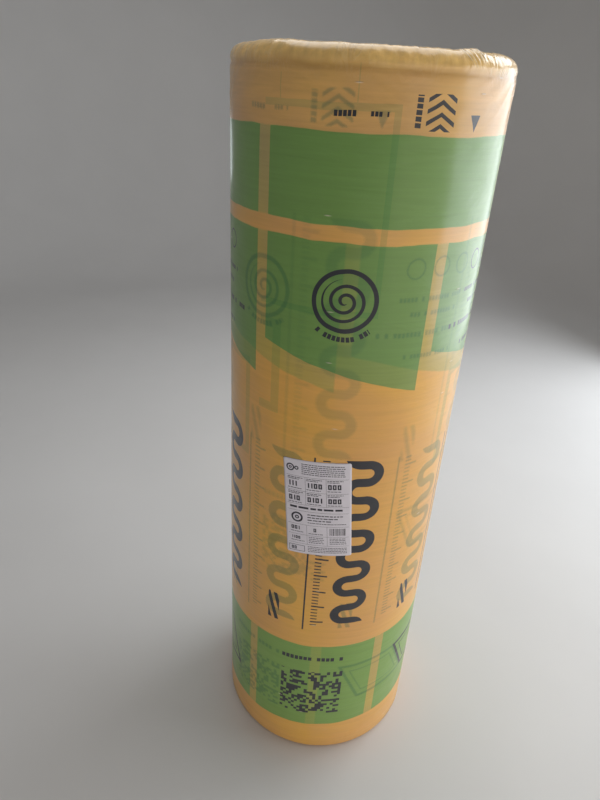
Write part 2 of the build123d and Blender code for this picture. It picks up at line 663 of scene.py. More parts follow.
def make_sticker_print():
    """The sticker's ink: flat bars and rings, cut into short pieces so that they bend, and stuck on."""
    ink = shape_by_hand("plane", "sticker_print", size=1)
    edit(ink)
    bpy.ops.mesh.delete(type="VERT")
    for x, y, width, height in sticker_bars():
        middle = ((x + width / 2 - 52) * MM, (88 - y - height / 2) * MM, 0)
        bpy.ops.mesh.primitive_plane_add(size=MM, location=middle)
        bpy.ops.transform.resize(value=(width, height, 1), center_override=middle)
    add_ring(11, 15, 6.5, 2.2)
    add_ring(11, 15, 2.4, 1.4)
    add_ring(21, 15, 3.4, 1.8)
    add_ring(19, 105, 9.5, 3)
    add_ring(19, 105, 3.5, 2)
    for x in steps(-sticker_width / 2, sticker_width / 2, bend_step)[1:-1]:
        bpy.ops.mesh.select_all(action="SELECT")
        bpy.ops.mesh.bisect(plane_co=(x, 0, 0), plane_no=(1, 0, 0))
    leave_edit()
    for v in ink.data.vertices:
        v.co = stuck_on(v.co.x, v.co.y, sticker_paper + ink_lift)
    turned_out(ink, Vector((0, 0, sticker_centre)))
    return ink


# Materials

def colour(hex_value):
    """A colour from its sRGB hex value, in the linear values that shaders take."""
    channels = [int(hex_value[k : k + 2], 16) / 255 for k in (1, 3, 5)]
    linear = [c / 12.92 if c <= 0.04045 else ((c + 0.055) / 1.055) ** 2.4 for c in channels]
    return (*linear, 1)


def add_node(tree, kind, *values, output=0, sockets=None, **settings):
    """Adds a node with its settings and links, and gives back one of its outputs.

    Values go to its first sockets in order, and `sockets` holds those for named ones.
    """
    node = tree.nodes.new(f"ShaderNode{kind}")
    for name, setting in settings.items():
        setattr(node, name, setting)
    for name, value in [*enumerate(values), *(sockets or {}).items()]:
        if isinstance(value, bpy.types.NodeSocket):
            tree.links.new(value, node.inputs[name])
        else:
            node.inputs[name].default_value = value
    return node.outputs[output]


def stretched_noise(tree, layout, across, along, detail, **sockets):
    """Flat noise with its spots so many to a metre each way."""
    place = add_node(tree, "VectorMath", layout, (across, along, 1), operation="MULTIPLY")
    sockets = {"Scale": 1, "Detail": detail, **sockets}
    return add_node(tree, "TexNoise", place, sockets=sockets, noise_dimensions="2D")


def new_material(name):
    """A material with one Principled shader, and both its node tree and that shader."""
    material = bpy.data.materials.new(name)
    material.use_nodes = True
    return material, material.node_tree, material.node_tree.nodes["Principled BSDF"]


# The film's print, in millimetres. Two panels take turns: the one with the round sign, centred on 0, and
# the one with the rows of text, centred on one repeat.

repeat = 246.0
stripe_half = 9.3
panel_half = repeat / 2 - stripe_half
bands = {"top": (1014.0, 1116.5), "middle": 994.0, "foot": (71.0, 288.0)}
panel_edge, panel_slope = 819.4, -0.25
ink_stroke = 6.0


def rectangle(tree, x, y, left, right, low, high):
    """1 inside a rectangle of the print and 0 outside it."""
    across = add_node(tree, "Math", x, (left + right) / 2, (right - left) / 2, operation="COMPARE")
    upright = add_node(tree, "Math", y, (low + high) / 2, (high - low) / 2, operation="COMPARE")
    return add_node(tree, "Math", across, upright, operation="MULTIPLY")


def together(tree, masks):
    """1 where any of the masks is 1."""
    whole = masks[0]
    for mask in masks[1:]:
        whole = add_node(tree, "Math", whole, mask, operation="MAXIMUM")
    return whole


def dashes(tree, along, across, start, length, middle, height, letter, seed):
    """Lettering too generic to read: dashes of one height in a row, with some left out."""
    from_start = add_node(tree, "Math", along, start, operation="SUBTRACT")
    place = add_node(tree, "Math", from_start, letter, operation="DIVIDE")
    number = add_node(tree, "Math", place, operation="FLOOR")
    chance = add_node(tree, "TexWhiteNoise", sockets={"W": add_node(tree, "Math", number, seed)},
                      noise_dimensions="1D")
    inside = add_node(tree, "Math", add_node(tree, "Math", place, operation="FRACT"), 0.78,
                      operation="LESS_THAN")
    kept = add_node(tree, "Math", chance, 0.2, operation="GREATER_THAN")
    row = rectangle(tree, along, across, start, start + length, middle - height / 2, middle + height / 2)
    dash = add_node(tree, "Math", inside, kept, operation="MULTIPLY")
    return add_node(tree, "Math", dash, row, operation="MULTIPLY")


def round_sign(tree, x, y, middle):
    """A wound roll seen from its end: a ring with a spiral in it, and a row of dashes below."""
    up = add_node(tree, "Math", y, middle, operation="SUBTRACT")
    place = add_node(tree, "CombineXYZ", x, up)
    radius = add_node(tree, "VectorMath", place, operation="LENGTH", output=1)
    angle = add_node(tree, "Math", up, x, operation="ARCTAN2")
    ring = add_node(tree, "Math", radius, 40, ink_stroke / 2, operation="COMPARE")
    pitch = 12.0
    grown = add_node(tree, "Math", angle, pitch / (2 * pi), radius, operation="MULTIPLY_ADD")
    turn = add_node(tree, "Math", grown, pitch / 2, -pitch / 2, operation="WRAP")
    line = add_node(tree, "Math", turn, 0, 2.3, operation="COMPARE")
    inside = add_node(tree, "Math", radius, 17, 13.5, operation="COMPARE")
    spiral = add_node(tree, "Math", line, inside, operation="MULTIPLY")
    arc = add_node(tree, "Math", angle, 52.0, operation="MULTIPLY")
    below = dashes(tree, arc, radius, -52 * 2.3, 52 * 1.46, 51.5, 7, 6.2, 3)
    return together(tree, [ring, spiral, below])


def wave_sign(tree, x, y, middle_x, middle_y, runs, spacing, stroke, straight):
    """The draughtsman's sign for a soft filling: a bold line that winds from side to side."""
    x = add_node(tree, "Math", x, middle_x, operation="SUBTRACT")
    y = add_node(tree, "Math", y, middle_y, operation="SUBTRACT")
    to_run = add_node(tree, "Math", y, spacing / 2, -spacing / 2, operation="WRAP")
    flat = add_node(tree, "Math", to_run, 0, stroke / 2, operation="COMPARE")
    between = add_node(tree, "Math", x, 0, straight, operation="COMPARE")
    parts = [add_node(tree, "Math", flat, between, operation="MULTIPLY")]
    for side in (1, -1):
        from_bend = add_node(tree, "Math", y, side * spacing / 2, operation="SUBTRACT")
        to_bend = add_node(tree, "Math", from_bend, spacing, -spacing, operation="WRAP")
        outwards = add_node(tree, "Math", x, side, -straight, operation="MULTIPLY_ADD")
        place = add_node(tree, "CombineXYZ", outwards, to_bend)
        radius = add_node(tree, "VectorMath", place, operation="LENGTH", output=1)
        ring = add_node(tree, "Math", radius, spacing / 2, stroke / 2, operation="COMPARE")
        beyond = add_node(tree, "Math", outwards, 0, operation="GREATER_THAN")
        parts.append(add_node(tree, "Math", ring, beyond, operation="MULTIPLY"))
    reach = (runs - 1) * spacing / 2 + stroke / 2
    whole = add_node(tree, "Math", y, 0, reach, operation="COMPARE")
    return add_node(tree, "Math", together(tree, parts), whole, operation="MULTIPLY")


def block_patch(tree, x, y, left, right, low, high, cell):
    """A patch of small square blocks, dark and clear by chance."""
    columns = add_node(tree, "Math", x, 1 / cell, -left / cell, operation="MULTIPLY_ADD")
    rows = add_node(tree, "Math", y, 1 / cell, -low / cell, operation="MULTIPLY_ADD")
    place = add_node(
        tree, "CombineXYZ", add_node(tree, "Math", columns, operation="FLOOR"),
        add_node(tree, "Math", rows, operation="FLOOR"),
    )
    chance = add_node(tree, "TexWhiteNoise", place, noise_dimensions="2D")
    dark = add_node(tree, "Math", chance, 0.48, operation="LESS_THAN")
    return add_node(tree, "Math", dark, rectangle(tree, x, y, left, right, low, high), operation="MULTIPLY")


def ruler(tree, x, y, left, low, high):
    """A measuring scale: a short tick every 7 mm and a long one every 35 mm."""
    small = add_node(tree, "Math", add_node(tree, "Math", y, 3.5, -3.5, operation="WRAP"), 0, 1.1,
                     operation="COMPARE")
    large = add_node(tree, "Math", add_node(tree, "Math", y, 17.5, -17.5, operation="WRAP"), 0, 1.5,
                     operation="COMPARE")
    short_part = rectangle(tree, x, y, left, left + 11, low, high)
    long_part = rectangle(tree, x, y, left, left + 22, low, high)
    ticks = add_node(tree, "Math", small, short_part, operation="MULTIPLY")
    long_ticks = add_node(tree, "Math", large, long_part, operation="MULTIPLY")
    return together(tree, [ticks, long_ticks])


def slanted_bars(tree, x, y, left, right, low, high, spacing, width, slant):
    """Slanted bars side by side in a rectangle."""
    leaned = add_node(tree, "Math", y, slant, x, operation="MULTIPLY_ADD")
    turn = add_node(tree, "Math", leaned, spacing / 2, -spacing / 2, operation="WRAP")
    bar = add_node(tree, "Math", turn, 0, width / 2, operation="COMPARE")
    return add_node(tree, "Math", bar, rectangle(tree, x, y, left, right, low, high), operation="MULTIPLY")


def chevrons(tree, x, y, middle, half, low, high):
    """Chevrons stacked one over the other."""
    side = add_node(tree, "Math", x, middle, operation="SUBTRACT")
    drop = add_node(tree, "Math", side, operation="ABSOLUTE")
    leaned = add_node(tree, "Math", drop, 0.6, y, operation="MULTIPLY_ADD")
    turn = add_node(tree, "Math", leaned, 6, -6, operation="WRAP")
    bar = add_node(tree, "Math", turn, 0, 2.4, operation="COMPARE")
    part = rectangle(tree, x, y, middle - half, middle + half, low, high)
    return add_node(tree, "Math", bar, part, operation="MULTIPLY")


def triangle(tree, x, y, middle, half, low, high):
    """A filled triangle that stands on its point."""
    side = add_node(tree, "Math", x, middle, operation="SUBTRACT")
    away = add_node(tree, "Math", side, operation="ABSOLUTE")
    rise = add_node(tree, "Math", y, half / (high - low), -low * half / (high - low),
                    operation="MULTIPLY_ADD")
    inside = add_node(tree, "Math", away, rise, operation="LESS_THAN")
    below = add_node(tree, "Math", y, high, operation="LESS_THAN")
    return add_node(tree, "Math", inside, below, operation="MULTIPLY")


def outline(tree, x, y, left, right, low, high, stroke):
    """The outline of a rectangle."""
    whole = rectangle(tree, x, y, left, right, low, high)
    hole = rectangle(tree, x, y, left + stroke, right - stroke, low + stroke, high - stroke)
    return add_node(tree, "Math", whole, hole, operation="SUBTRACT")


def slab_sign(tree, x, y, middle_x, middle_y):
    """A mat of blanket drawn at a slant: a bold outline with a thin one inside it."""
    up = add_node(tree, "Math", y, middle_y, operation="SUBTRACT")
    across = add_node(tree, "Math", x, middle_x, operation="SUBTRACT")
    leaned = add_node(tree, "Math", up, 0.45, across, operation="MULTIPLY_ADD")
    return together(tree, [
        outline(tree, leaned, up, -60, 60, -48, 48, 6),
        outline(tree, leaned, up, -45, 45, -32, 32, 2.2),
    ])


def small_rings(tree, x, y, middle_x, middle_y, spacing, radius, stroke):
    """Three small rings in a row."""
    from_middle = add_node(tree, "Math", x, middle_x, operation="SUBTRACT")
    turn = add_node(tree, "Math", from_middle, spacing / 2, -spacing / 2, operation="WRAP")
    up = add_node(tree, "Math", y, middle_y, operation="SUBTRACT")
    away = add_node(tree, "VectorMath", add_node(tree, "CombineXYZ", turn, up), operation="LENGTH", output=1)
    ring = add_node(tree, "Math", away, radius, stroke / 2, operation="COMPARE")
    row = add_node(tree, "Math", from_middle, 0, 1.5 * spacing, operation="COMPARE")
    return add_node(tree, "Math", ring, row, operation="MULTIPLY")


def film_print_group():
    """The print of one layer of film: where it is green and where it has dark ink."""
    group = bpy.data.node_groups.new("film print", "ShaderNodeTree")
    for name in ("Along", "Up"):
        group.interface.new_socket(name, in_out="INPUT", socket_type="NodeSocketFloat")
    for name in ("Green", "Ink"):
        group.interface.new_socket(name, in_out="OUTPUT", socket_type="NodeSocketFloat")
    given = group.nodes.new("NodeGroupInput")
    x = add_node(group, "Math", given.outputs["Along"], repeat / 2, -repeat / 2, operation="WRAP")
    pair = add_node(group, "Math", given.outputs["Along"], 1.5 * repeat, -0.5 * repeat, operation="WRAP")
    y = given.outputs["Up"]

    edge = add_node(group, "Math", x, panel_slope, panel_edge, operation="MULTIPLY_ADD")
    above = add_node(group, "Math", y, edge, operation="GREATER_THAN")
    middle = rectangle(group, x, y, -panel_half, panel_half, panel_edge - 100, bands["middle"])
    green = together(group, [
        rectangle(group, pair, y, -panel_half, repeat + panel_half, *bands["top"]),
        add_node(group, "Math", middle, above, operation="MULTIPLY"),
        rectangle(group, x, y, -panel_half, panel_half, *bands["foot"]),
    ])
    ink = together(group, [
        # On both panels: the bold wave, the ruler beside it, the thin rule and the slanted bars
        wave_sign(group, x, y, 52, 514, 11, 32.3, 15, 6.4),
        ruler(group, x, y, -10.5, 340, 683),
        rectangle(group, x, y, -24, -21.2, 328, 683),
        slanted_bars(group, x, y, -90, -68, 334, 394, 14, 7.5, 0.3),
        # On the first: the round sign, the block patch with its heading, and the marks over the top band
        round_sign(group, pair, y, 921),
        block_patch(group, pair, y, -57, 57, 104, 220, 5.7),
        dashes(group, pair, y, -57, 113, 254, 9, 8.1, 21),
        chevrons(group, pair, y, 91, 18, 1122, 1160),
        dashes(group, y, pair, 1124, 34, 63.5, 7, 6.5, 5),
        dashes(group, pair, y, -31, 29, 1136, 6, 5.2, 7),
        dashes(group, pair, y, 10, 20, 1136, 5, 4.5, 9),
        triangle(group, pair, y, 141.5, 8, 1122, 1139),
        # On the second: small rings, four rows of text and the slab
        small_rings(group, pair, y, repeat, 965, 40, 12.5, 2.2),
        dashes(group, pair, y, repeat - 58, 116, 925, 6, 5.4, 13),
        dashes(group, pair, y, repeat - 40, 80, 905, 6, 5.4, 15),
        dashes(group, pair, y, repeat - 84, 168, 877, 7, 6.0, 17),
        dashes(group, pair, y, repeat - 42, 84, 845, 6, 5.4, 19),
        slab_sign(group, pair, y, repeat, 185),
    ])
    taken = group.nodes.new("NodeGroupOutput")
    group.links.new(green, taken.inputs["Green"])
    group.links.new(ink, taken.inputs["Ink"])
    return group


def inner_frames(tree, along, y):
    """Wide green rules of the innermost layer, which show through the others: two frames and a bar."""
    pair = add_node(tree, "Math", along, 1.5 * repeat, -0.5 * repeat, operation="WRAP")
    half = add_node(tree, "Math", along, 0, repeat / 2, operation="WRAP")
    faint = together(tree, [
        outline(tree, pair, y, -139, 44, 900, 1146, 8),
        outline(tree, pair, y, -220, -86, 738, 880, 14),
        outline(tree, pair, y, repeat - 60, repeat + 100, 640, 806, 11),
        rectangle(tree, pair, y, -6.2, -4.8, 1134, 1184),
        rectangle(tree, pair, y, -100.2, -98.8, 1142, 1172),
    ])
    bar = rectangle(tree, half, y, -52, -39, 328, 560)
    return faint, bar


film_yellow = "#E0A854"
top_yellow = "#D2A462"
film_green, foot_green = "#85994A", "#93A34C"
film_ink = "#25262E"
seen_through_green = "#D6F8FA"
seen_through_ink = "#CADFF0"
print_zero = 5.5
print_askew = 0.075
print_drift = 1.1
inner_layers = (
    {"along": 118.0, "up": 0.0, "blur": 2.5, "green": 1.0, "ink": 1.0},
    {"along": 50.0, "up": -340.0, "blur": 5.0, "green": 0.0, "ink": 0.55},
)
frame_tint, bar_tint = "#E6F6F8", "#A9D6DC"
# Over the rim, a paler gold, partly the loose film's own tone and partly painted light from above; at the
# crest, a cream painted highlight; along the fold, a painted shade; on sharp creases, a pale painted
# highlight
rim_gold_and_light, crest_highlight_tint, fold_shade_tint, glint = "#F0C676", "#E8D2A6", "#E4DFC6", "#F6EAD2"
pull_place, pull_reach = (0.245, 0.925), (0.1, 0.085)
knot_place = 0.163

# Where along the film, in metres, its looks change towards the rim and over it
pucker_shading_grows = (1.06, 1.16)
coat_grows = (1.155, 1.2)
film_loosens = (1.165, 1.2)
fold_heights = (1.1785, 1.1835)
fold_half_width = 0.0065
knots_grow = (1.18, 1.195)
gold_grows, crest_highlight_grows, rim_tints_thin = (1.178, 1.192), (1.209, 1.2165), (1.218, 1.24)


def fan_of_creases(tree, around, along):
    """Thin ridges that fan out from the hump of the hem, bending as they run down over the rim."""
    down = add_node(tree, "MapRange", along, 1212, 1185)
    bend = add_node(tree, "Math", down, 1.5, operation="POWER")
    crest = add_node(
        tree, "Math", add_node(tree, "Math", bend, -48.8, around, operation="MULTIPLY_ADD"),
        add_node(tree, "Math", bend, -0.325, 1, operation="MULTIPLY_ADD"), operation="DIVIDE",
    )
    beside = add_node(tree, "Math", crest, 3.3, operation="PINGPONG")
    ridge = add_node(tree, "MapRange", beside, 2.1, 3.3, interpolation_type="SMOOTHSTEP")
    uneven = add_node(tree, "TexNoise", add_node(tree, "CombineXYZ", crest, along),
                      sockets={"Scale": 0.12, "Detail": 2}, noise_dimensions="2D")
    uneven = add_node(tree, "MapRange", uneven, 0.35, 0.55)
    ridge = add_node(tree, "Math", ridge, uneven, operation="MULTIPLY")
    fading = add_node(tree, "MapRange", down, 0.65, 1, 1, 0)
    within = rectangle(tree, crest, along, 104, 141, 1186, 1214)
    return add_node(tree, "Math", add_node(tree, "Math", ridge, fading, operation="MULTIPLY"), within,
                    operation="MULTIPLY")


def glinting_nicks(tree, layout):
    """Single small creases here and there."""
    nick = add_node(
        tree, "TexVoronoi", add_node(tree, "VectorMath", layout, (5, 24, 1), operation="MULTIPLY"),
        sockets={"Scale": 1}, voronoi_dimensions="2D",
    ).node.outputs
    there = add_node(tree, "MapRange", nick["Distance"], 0, 0.032, 1, 0, interpolation_type="SMOOTHSTEP")
    chosen = add_node(
        tree, "Math", add_node(tree, "SeparateXYZ", nick["Color"]), 0.68, operation="GREATER_THAN"
    )
    return add_node(tree, "Math", there, chosen, operation="MULTIPLY")


def pulled_wrinkles(tree, layout):
    """Wrinkles that run across the film where it is pulled round to its end."""
    from_pull = add_node(tree, "VectorMath", layout, (*pull_place, 0), operation="SUBTRACT")
    reach = add_node(tree, "VectorMath", from_pull, (*pull_reach, 1), operation="DIVIDE")
    away = add_node(tree, "VectorMath", reach, operation="LENGTH", output=1)
    pull = add_node(tree, "MapRange", away, 0.3, 1, 1, 0, interpolation_type="SMOOTHSTEP")
    slanted = add_node(
        tree, "Mapping", layout, sockets={"Rotation": (0, 0, radians(-18)), "Scale": (16, 120, 1)}
    )
    wrinkles = add_node(
        tree, "TexNoise", slanted, sockets={"Scale": 1, "Detail": 2, "Distortion": 0.6},
        noise_dimensions="2D",
    )
    return add_node(tree, "Math", wrinkles, pull, operation="MULTIPLY")


def rim_crinkles(tree, layout, flat, loose):
    """Crinkles where the film is loose, most of them by the hump of the hem."""
    crinkle = stretched_noise(tree, layout, 95, 34, 2, Distortion=1.0)
    ridge = add_node(tree, "Math", add_node(tree, "Math", crinkle, 0.5, operation="SUBTRACT"),
                     operation="ABSOLUTE")
    ridge = add_node(tree, "MapRange", ridge, 0, 0.07, 1, 0, interpolation_type="SMOOTHSTEP")
    beside_knot = add_node(tree, "Math", add_node(tree, "Math", flat["X"], knot_place, operation="SUBTRACT"),
                           operation="ABSOLUTE")
    knotted = add_node(tree, "MapRange", beside_knot, 0.012, 0.034, 1, 0)
    calm = stretched_noise(tree, layout, 17, 8, 1)
    crumpled = add_node(tree, "Math", add_node(tree, "MapRange", calm, 0.42, 0.66, 0.12, 0.8), knotted,
                        operation="MAXIMUM")
    crumpled = add_node(tree, "Math", crumpled, loose, operation="MULTIPLY")
    return add_node(tree, "Math", ridge, crumpled, operation="MULTIPLY")


def with_layers_underneath(tree, layout, along, up, film_print, shown):
    """Each layer underneath tints the film where it is printed. Its edges are soft, because the
    film over it is milky: a fine random shift spreads them."""
    for layer in inner_layers:
        jitter = add_node(
            tree, "TexWhiteNoise",
            add_node(tree, "VectorMath", layout, (4000, 4000, 1), operation="MULTIPLY"),
            noise_dimensions="2D", output=1,
        )
        spread = add_node(tree, "SeparateXYZ", jitter).node.outputs
        shift = [
            add_node(tree, "Math", spread[axis], layer["blur"], -layer["blur"] / 2, operation="MULTIPLY_ADD")
            for axis in ("X", "Y")
        ]
        layer_along = add_node(tree, "Math", along, layer["along"], operation="ADD")
        layer_up = add_node(tree, "Math", up, layer["up"], operation="ADD")
        inner = add_node(
            tree, "Group", node_tree=film_print,
            sockets={
                "Along": add_node(tree, "Math", layer_along, shift[0], operation="ADD"),
                "Up": add_node(tree, "Math", layer_up, shift[1], operation="ADD"),
            },
        ).node.outputs
        for part, tint in (("Green", seen_through_green), ("Ink", seen_through_ink)):
            strength = add_node(tree, "Math", inner[part], layer[part.lower()], operation="MULTIPLY")
            shown = add_node(
                tree, "Mix", data_type="RGBA", blend_type="MULTIPLY", output=2,
                sockets={0: strength, 6: shown, 7: colour(tint)},
            )
    for strength, tint in zip(inner_frames(tree, along, up), (frame_tint, bar_tint)):
        shown = add_node(
            tree, "Mix", data_type="RGBA", blend_type="MULTIPLY", output=2,
            sockets={0: strength, 6: shown, 7: colour(tint)},
        )
    return shown


def printed_film():
    """Blown polyethylene film, printed on its outside: glossy, a little milky, and stretched round the
    roll, so that fine lines run round it. The print of the layers underneath shows through it."""
    material, tree, shader = new_material("printed polyethylene film")
    layout = add_node(tree, "UVMap", uv_map="film")
    flat = add_node(tree, "SeparateXYZ", layout).node.outputs
    along = add_node(tree, "Math", flat["X"], 1000, print_zero, operation="MULTIPLY_ADD")
    up = add_node(tree, "Math", flat["Y"], 1000, operation="MULTIPLY")

    # The print is never quite true: it drifts up and down a little
    drift = add_node(tree, "TexNoise", layout, sockets={"Scale": 15, "Detail": 2}, noise_dimensions="2D")
    drift = add_node(tree, "MapRange", drift, 0.3, 0.7, -print_drift, print_drift)
    up = add_node(tree, "Math", up, drift, operation="ADD")

    # Towards the foot the film was wound a little askew
    angle = add_node(tree, "Math", flat["X"], film_radius, operation="DIVIDE")
    askew = add_node(tree, "Math", add_node(tree, "Math", angle, operation="SINE"),
                     -print_askew * film_radius / MM, operation="MULTIPLY")
    low_down = add_node(tree, "MapRange", up, 300, 700, 1, 0, interpolation_type="SMOOTHSTEP")
    up = add_node(tree, "Math", askew, low_down, up, operation="MULTIPLY_ADD")
    film_print = film_print_group()

    # The film's own yellow is uneven, and duller towards the top
    tone = add_node(tree, "TexNoise", layout, sockets={"Scale": 7, "Detail": 3}, noise_dimensions="2D")
    warmth = add_node(tree, "Math", tone, 0.5, operation="SUBTRACT")
    high_up = add_node(tree, "MapRange", up, 960, 1080, 0, 0.85, interpolation_type="SMOOTHSTEP")
    yellow = add_node(
        tree, "Mix", data_type="RGBA", output=2,
        sockets={0: high_up, 6: colour(film_yellow), 7: colour(top_yellow)},
    )
    yellow = add_node(
        tree, "HueSaturation",
        add_node(tree, "Math", warmth, 0.02, 0.5, operation="MULTIPLY_ADD"),
        add_node(tree, "Math", warmth, 0.15, 1.0, operation="MULTIPLY_ADD"),
        add_node(tree, "Math", warmth, 0.2, 1.0, operation="MULTIPLY_ADD"),
        1.0, yellow,
    )
    outer = add_node(
        tree, "Group", node_tree=film_print, sockets={"Along": along, "Up": up}
    ).node.outputs
    green = add_node(
        tree, "Mix", data_type="RGBA", output=2,
        sockets={0: low_down, 6: colour(film_green), 7: colour(foot_green)},
    )
    shown = add_node(
        tree, "Mix", data_type="RGBA", output=2, sockets={0: outer["Green"], 6: yellow, 7: green}
    )
    shown = with_layers_underneath(tree, layout, along, up, film_print, shown)
    shown = add_node(
        tree, "Mix", data_type="RGBA", output=2,
        sockets={0: outer["Ink"], 6: shown, 7: colour(film_ink)},
    )

    # Over the rim the film lies loose on no print: it is paler there, partly its own tone and partly painted
    # light from above, and at the crest it has a cream painted highlight
    waver = stretched_noise(tree, layout, 14, 0, 2)
    wavy = add_node(tree, "MapRange", waver, 0.3, 0.7, 0.004, -0.004)
    wavy = add_node(tree, "Math", flat["Y"], wavy, operation="ADD")
    streaks = stretched_noise(tree, layout, 110, 26, 3)
    patchy = add_node(tree, "MapRange", streaks, 0.3, 0.7, 0.55, 1)
    for grows, inner, tint in ((gold_grows, 1, rim_gold_and_light), (crest_highlight_grows, 0.35, crest_highlight_tint)):
        there = add_node(tree, "MapRange", wavy, *grows, interpolation_type="SMOOTHSTEP")
        inwards = add_node(tree, "MapRange", flat["Y"], *rim_tints_thin, 1, inner)
        there = add_node(tree, "Math", there, inwards, operation="MULTIPLY")
        there = add_node(tree, "Math", there, patchy, operation="MULTIPLY")
        shown = add_node(
            tree, "Mix", data_type="RGBA", output=2, sockets={0: there, 6: shown, 7: colour(tint)}
        )

    # A soft fold runs round under the loose film, not quite level: painted shade darkens the film along it,
    # broken into gaps
    fold_at = add_node(tree, "MapRange", waver, 0.3, 0.7, *fold_heights)
    off_fold = add_node(tree, "Math", add_node(tree, "Math", flat["Y"], fold_at, operation="SUBTRACT"),
                        operation="ABSOLUTE")
    fold_shade = add_node(
        tree, "MapRange", off_fold, 0, fold_half_width, 1, 0, interpolation_type="SMOOTHSTEP"
    )
    gaps = add_node(tree, "TexNoise", layout, sockets={"Scale": 9, "Detail": 1}, noise_dimensions="2D")
    gaps = add_node(tree, "MapRange", gaps, 0.4, 0.6, 0.25, 0.8)
    fold_shade = add_node(tree, "Math", fold_shade, gaps, operation="MULTIPLY")
    shown = add_node(
        tree, "Mix", data_type="RGBA", blend_type="MULTIPLY", output=2,
        sockets={0: fold_shade, 6: shown, 7: colour(fold_shade_tint)},
    )

    # Fine tension lines round the roll, where the film is tight: painted light and shade streak the colour
    # along them, as their relief would shade it
    loose = add_node(tree, "MapRange", flat["Y"], *film_loosens, 0.03, 1.0)
    lines = stretched_noise(tree, layout, 5, 200, 4, Roughness=0.65)
    lines = add_node(
        tree, "Mix", data_type="FLOAT",
        sockets={0: loose, 2: add_node(tree, "MapRange", lines, 0.3, 0.7), 3: 0.5},
    )
    shown = add_node(
        tree, "HueSaturation", 0.5, 1.0, add_node(tree, "MapRange", lines, 0, 1, 0.955, 1.045), 1.0, shown,
    )

    # Soft puckers under the rim, painted into the colour as light and shade
    puckers = stretched_noise(tree, layout, 9, 34, 3, Distortion=0.8)
    near_rim = add_node(tree, "MapRange", flat["Y"], *pucker_shading_grows, interpolation_type="SMOOTHSTEP")
    pucker_shading = add_node(tree, "Mix", data_type="FLOAT", sockets={
        0: near_rim, 2: 1.0, 3: add_node(tree, "MapRange", puckers, 0.35, 0.65, 0.93, 1.07),
    })
    shown = add_node(tree, "HueSaturation", 0.5, 1.0, pucker_shading, 1.0, shown)

    # The wool's knots show through the loose film as pale and dark spots
    knots = stretched_noise(tree, layout, 85, 75, 4, Roughness=0.6)
    on_rim = add_node(tree, "MapRange", wavy, *knots_grow, interpolation_type="SMOOTHSTEP")
    spots = add_node(tree, "Mix", data_type="FLOAT", sockets={
        0: on_rim, 2: 1.0, 3: add_node(tree, "MapRange", knots, 0.3, 0.7, 0.88, 1.12),
    })
    shown = add_node(tree, "HueSaturation", 0.5, 1.0, spots, 1.0, shown)

    crinkled = rim_crinkles(tree, layout, flat, loose)
    fan = fan_of_creases(tree, add_node(tree, "Math", flat["X"], 1000, operation="MULTIPLY"),
                         add_node(tree, "Math", flat["Y"], 1000, operation="MULTIPLY"))
    nicked = glinting_nicks(tree, layout)

    # Sharp creases are painted pale: mostly a painted highlight, with some whitening of the stretched film
    for strength, crease in ((0.14, crinkled), (0.75, fan), (0.55, nicked)):
        shown = add_node(
            tree, "Mix", data_type="RGBA", output=2,
            sockets={0: add_node(tree, "Math", crease, strength, operation="MULTIPLY"),
                     6: shown, 7: colour(glint)},
        )
    tree.links.new(shown, shader.inputs["Base Color"])

    # Relief too fine for the mesh, each kind with its strength and its depth in metres
    pulled = pulled_wrinkles(tree, layout)
    relief = (
        (0.5, 0.00018, lines), (0.25, 0.005, puckers), (0.55, 0.0012, crinkled), (0.4, 0.0008, fan),
        (0.8, 0.0012, nicked), (0.7, 0.0035, pulled),
    )
    under = {}
    for strength, depth, height in relief:
        under = {"Normal": add_node(tree, "Bump", strength, depth, sockets={"Height": height, **under})}
    tree.links.new(under["Normal"], shader.inputs["Normal"])

    gloss = add_node(tree, "TexNoise", layout, sockets={"Scale": 22, "Detail": 2}, noise_dimensions="2D")
    tree.links.new(add_node(tree, "MapRange", gloss, 0.3, 0.7, 0.42, 0.54), shader.inputs["Roughness"])
    shader.inputs["IOR"].default_value = 1.51
    coat = add_node(tree, "MapRange", wavy, *coat_grows, 0.6, 1.0)
    tree.links.new(coat, shader.inputs["Coat Weight"])
    shader.inputs["Coat Roughness"].default_value = 0.2
    return material


wool_yellow = "#D8BC6A"
wool_dark = "#A98A45"
wool_pale = "#E9D595"


def glass_wool():
    """Glass wool, spun, bonded with resin and cut: matt, with fibres that lie in layers along each turn
    and small clumps of paler and darker fibre."""
    material, tree, shader = new_material("bonded glass wool")
    layout = add_node(tree, "UVMap", uv_map="wool")
    fibres = stretched_noise(tree, layout, 170, 900, 5, Roughness=0.65)
    layers = stretched_noise(tree, layout, 16, 330, 3, Distortion=0.3)
    place = add_node(tree, "TexCoord").node.outputs["Object"]
    clumps = add_node(tree, "TexNoise", place, sockets={"Scale": 60, "Detail": 6, "Roughness": 0.7})
    shade = add_node(tree, "Math", fibres, 0.4, add_node(tree, "Math", layers, 0.6, operation="MULTIPLY"),
                     operation="MULTIPLY_ADD")
    shade_part = add_node(tree, "MapRange", shade, 0.32, 0.66)
    tone = add_node(
        tree, "Mix", data_type="RGBA", output=2,
        sockets={0: shade_part, 6: colour(wool_dark), 7: colour(wool_yellow)},
    )
    tone = add_node(
        tree, "Mix", data_type="RGBA", output=2,
        sockets={0: add_node(tree, "MapRange", clumps, 0.5, 0.75, 0, 0.75), 6: tone, 7: colour(wool_pale)},
    )
    tree.links.new(tone, shader.inputs["Base Color"])
    height = add_node(tree, "Math", clumps, 0.5, shade, operation="MULTIPLY_ADD")
    bump = add_node(tree, "Bump", 0.8, 0.0018, sockets={"Height": height})
    tree.links.new(bump, shader.inputs["Normal"])
    shader.inputs["Roughness"].default_value = 0.95
    shader.inputs["Specular IOR Level"].default_value = 0.2
    shader.inputs["Sheen Weight"].default_value = 0.25
    return material


